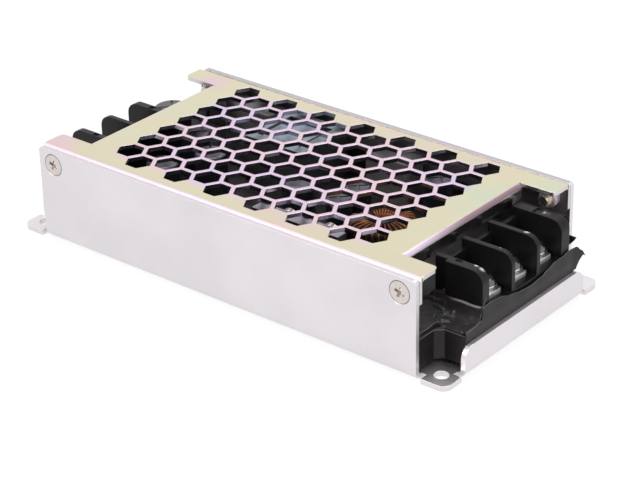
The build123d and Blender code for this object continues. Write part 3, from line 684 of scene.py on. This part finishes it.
for vertex in pour.data.vertices:
    x, y = vertex.co.x / MM, vertex.co.y / MM
    rise = creep(film_x - abs(x), 0.5, 0.9) + creep(film_y - abs(y), 0.5, 0.9)
    rise += creep(to_box(x, y, *footprints[0]), 1.1, 1.2)
    rise += creep(to_box(x, y, *footprints[1]), 0.9, 1.2)
    rise += creep(to_box(x, y, *core), 0.4, 0.7)
    if y < -12.8 and x > 44:
        rise += heap(x, y)
    for cx, cy, radius in standing:
        away = ((x - cx) ** 2 + (y - cy) ** 2) ** 0.5 - radius
        rise += creep(away, 0.5, 0.7) if away < 4 else 0.0
    if y < -11 and 44 < x < 58:
        for x0, y0, x1, y1, height in ridges:
            rise += height * fade((to_line(x, y, x0, y0, x1, y1) / ridge_width) ** 2)
    vertex.co.z = (potting_z + rise) * MM
swell = bpy.data.textures.new("pour_swell", "CLOUDS")
swell.noise_scale = 6.0 * MM
swell.noise_depth = 2
push = pour.modifiers.new("swell", "DISPLACE")
push.texture = swell
push.texture_coords = "LOCAL"
push.direction = "Z"
push.strength = 0.7 * MM
push.mid_level = 0.5
thick = pour.modifiers.new("thickness", "SOLIDIFY")
thick.thickness = 0.6 * MM
thick.offset = -1.0
apply_all(pour)
bpy.ops.object.shade_smooth()
finish_piece(pour, "potting_surface", "potting", replaced=("potting",))

# Insulating film: the sheet that stands up in a wave behind the input end's flange, its edge
# round the near pocket, and the corners of the side sheet past the far wall's ends
film_foot = 8.6
wave_foot = 7.62
wave = (
    (-21.0, 9.9),
    (-17.5, 10.1),
    (-15.2, 10.6),
    (-14.3, 13.2),
    (-13.2, 13.5),
    (-7.9, 13.1),
    (-3.9, 12.0),
    (0.0, 11.3),
    (4.0, 11.0),
    (7.7, 11.3),
    (10.5, 12.0),
    (13.6, 12.6),
    (16.4, 12.7),
    (19.4, 13.1),
    (21.9, 13.0),
    (23.6, 11.6),
    (24.8, 9.9),
)
pocket_route = (
    (54.9, -27.9, 9.9),
    (54.9, -23.0, 10.2),
    (55.2, -20.9, 10.5),
    (55.8, -20.35, 9.6),
    (57.4, -20.35, 9.2),
    (59.8, -20.35, 9.2),
    (61.2, -20.35, 9.6),
    (62.2, -20.6, 9.9),
)


def wave_top(y):
    """Height of the sheet's edge there, from the points either side."""
    for (y0, z0), (y1, z1) in zip(wave, wave[1:]):
        if y <= y1:
            share = (y - y0) / (y1 - y0)
            return z0 + (z1 - z0) * share * share * (3 - 2 * share)
    return wave[-1][1]


def film_sheet(name, columns, rows, shape):
    """A thin sheet from a grid whose points the shape places, from two shares of 0 to 1."""
    bpy.ops.object.select_all(action="DESELECT")
    bpy.ops.mesh.primitive_grid_add(x_subdivisions=columns, y_subdivisions=rows, size=1.0)
    sheet = bpy.context.object
    for vertex in sheet.data.vertices:
        x, y, z = shape(vertex.co.x + 0.5, vertex.co.y + 0.5)
        vertex.co = (x * MM, y * MM, z * MM)
    thick = sheet.modifiers.new("thickness", "SOLIDIFY")
    thick.thickness = 0.22 * MM
    thick.offset = 0.0
    apply_all(sheet)
    bpy.ops.object.shade_smooth_by_angle(angle=radians(40))
    finish_piece(sheet, name, "insulating_film")


def end_wave(along, rise):
    """The sheet behind the flange, leaning in where it stands tall."""
    y = -21.0 + (42.4 + 3.4 * rise) * along
    z = wave_foot + (wave_top(y) - wave_foot) * rise
    lean = 0.1 * max(0.0, z - 10.2) - 0.1 * max(0.0, y - 20.0)
    return 62.66 - lean + 0.05 * sin(y * 0.8) * rise, y, z


def pocket_edge(along, rise):
    """The film that stands round the near pocket, with a slightly ragged top."""
    at = along * (len(pocket_route) - 1)
    k = min(int(at), len(pocket_route) - 2)
    (x0, y0, z0), (x1, y1, z1) = pocket_route[k : k + 2]
    share = at - k
    top = z0 + (z1 - z0) * share + 0.12 * sin(along * 40)
    z = film_foot + (top - film_foot) * rise
    return x0 + (x1 - x0) * share, y0 + (y1 - y0) * share, z


def input_corner(along, rise):
    """The side sheet's corner at the input end, cut back towards its foot."""
    reach = 3.4 - 2.2 * (1 - rise) ** 1.3
    z = film_foot + 3.3 * rise - 0.6 * along * rise
    return 54.9 + reach * along, 28.0 + 0.5 * along ** 2, z


def output_corner(along, rise):
    """The side sheet's corner at the output end, longer and nearly square."""
    reach = 7.6 - 0.4 * (1 - rise) ** 1.3
    z = 6.9 + 6.7 * rise - 0.6 * along * rise
    return -54.8 - reach * along, 28.0 + 0.5 * along ** 2, z


film_sheet("film_end_edge", 160, 8, end_wave)
film_sheet("film_pocket_edge", 60, 4, pocket_edge)
film_sheet("film_input_corner", 16, 8, input_corner)
film_sheet("film_output_corner", 16, 8, output_corner)

# Choke winding: one continuous enamelled wire round the toroid, whose section is a rounded box
choke_x, choke_y, choke_z = 27.0, -3.5, 14.65
ring_radius, half_width, half_height = 5.15, 2.85, 5.2
choke_turns, turn_steps = 30, 24
winding = []
for k in range(choke_turns * turn_steps + 1):
    around = 2 * pi * k / turn_steps
    along = radians(-160) + radians(330) * k / (choke_turns * turn_steps)
    c = cos(around)
    s = sin(around)
    reach = ring_radius + half_width * abs(c) ** 0.55 * (1 if c > 0 else -1)
    rise = half_height * abs(s) ** 0.4 * (1 if s > 0 else -1)
    winding.append((choke_x + reach * cos(along), choke_y + reach * sin(along), choke_z + rise))
choke_wire = wire_piece("choke_wire", 0.31, 3, [winding])
finish_piece(choke_wire, "choke_wire", "copper_wire", replaced=("choke_winding",))

# Screw threads: the turns that show on the cover screws' tips, past the bosses
screw_x, screw_z, tip_y, boss_y = 51.7, 20.4, 24.15, 25.9
pitch, thread_radius, thread_steps = 0.5, 1.42, 20
helices = []
for sx in (1, -1):
    for sy in (1, -1):
        helix = []
        for k in range(int((boss_y - tip_y) / pitch * thread_steps) + 1):
            angle = 2 * pi * k / thread_steps
            x = sx * screw_x + thread_radius * cos(angle)
            z = screw_z - sy * thread_radius * sin(angle)
            helix.append((x, sy * (tip_y + pitch * k / thread_steps), z))
        helices.append(helix)
threads = wire_piece("screw_threads", 0.15, 2, helices)
finish_piece(threads, "screw_threads", "spacer_brass")

# Camera, matched to the photograph, in metres
right = Vector((0.7758, 0.6307, -0.0181)).normalized()
back = Vector((0.56596, -0.68288, 0.46191)).normalized()
right = (right - right.dot(back) * back).normalized()
up = back.cross(right)
camera_data = bpy.data.cameras.new("camera")
camera_data.lens = 121.397
camera_data.sensor_width = 36.0
camera_data.clip_start = 0.01
camera = bpy.data.objects.new("camera", camera_data)
bpy.context.collection.objects.link(camera)
turn = Matrix((right, up, back)).transposed().to_4x4()
camera.matrix_world = Matrix.Translation((0.293282, -0.347302, 0.24078)) @ turn
bpy.context.scene.camera = camera


# Studio: pale floor, white surroundings and soft lamps, placed in metres
def camera_or_mirror(tree):
    """1 for rays from the camera and off glossy surfaces, 0 for all others."""
    rays = tree.nodes.new("ShaderNodeLightPath")
    seen = tree.nodes.new("ShaderNodeMath")
    seen.operation = "MAXIMUM"
    tree.links.new(rays.outputs["Is Camera Ray"], seen.inputs[0])
    tree.links.new(rays.outputs["Is Glossy Ray"], seen.inputs[1])
    return seen.outputs[0]


def blend(tree, share, unseen, shown, output_kind):
    """The tree's output: one shader for the rays with share 0, the other for those with 1."""
    mixed = tree.nodes.new("ShaderNodeMixShader")
    output = tree.nodes.new(output_kind)
    tree.links.new(share, mixed.inputs[0])
    tree.links.new(unseen.outputs[0], mixed.inputs[1])
    tree.links.new(shown.outputs[0], mixed.inputs[2])
    tree.links.new(mixed.outputs[0], output.inputs["Surface"])


bpy.ops.object.select_all(action="DESELECT")
bpy.ops.mesh.primitive_plane_add(size=6.0, location=(0, 0, -0.0001))
floor = bpy.context.object
floor.name = "floor"
paper = bpy.data.materials.new("paper")
paper.use_nodes = True
tree = paper.node_tree
tree.nodes.clear()
share = tree.nodes.new("ShaderNodeMath")
share.operation = "MULTIPLY"
share.inputs[1].default_value = 0.86
tree.links.new(camera_or_mirror(tree), share.inputs[0])
plain = tree.nodes.new("ShaderNodeBsdfDiffuse")
plain.inputs["Color"].default_value = (0.9, 0.9, 0.9, 1)
glow = tree.nodes.new("ShaderNodeEmission")
blend(tree, share.outputs[0], plain, glow, "ShaderNodeOutputMaterial")
floor.data.materials.append(paper)

world = bpy.data.worlds.new("studio")
bpy.context.scene.world = world
world.use_nodes = True
tree = world.node_tree
tree.nodes.clear()
dim = tree.nodes.new("ShaderNodeBackground")
dim.inputs["Color"].default_value = (1, 1, 1, 1)
dim.inputs["Strength"].default_value = 0.75
white = tree.nodes.new("ShaderNodeBackground")
white.inputs["Color"].default_value = (1, 1, 1, 1)
blend(tree, camera_or_mirror(tree), dim, white, "ShaderNodeOutputWorld")


def soft_lamp(name, place, size, power):
    """A square area lamp that faces the middle of the case."""
    lamp = bpy.data.lights.new(name, "AREA")
    lamp.size = size
    lamp.energy = power
    holder = bpy.data.objects.new(name, lamp)
    bpy.context.collection.objects.link(holder)
    holder.location = place
    aim = Vector((0, 0, 0.01)) - Vector(place)
    holder.rotation_euler = aim.to_track_quat("-Z", "Y").to_euler()


soft_lamp("key", (-0.35, -0.75, 0.75), 0.6, 5.0)
soft_lamp("fill", (0.8, -0.2, 0.5), 0.6, 3.0)
soft_lamp("top", (0.0, 0.3, 0.95), 0.7, 4.0)

bpy.context.scene.view_settings.view_transform = "Standard"
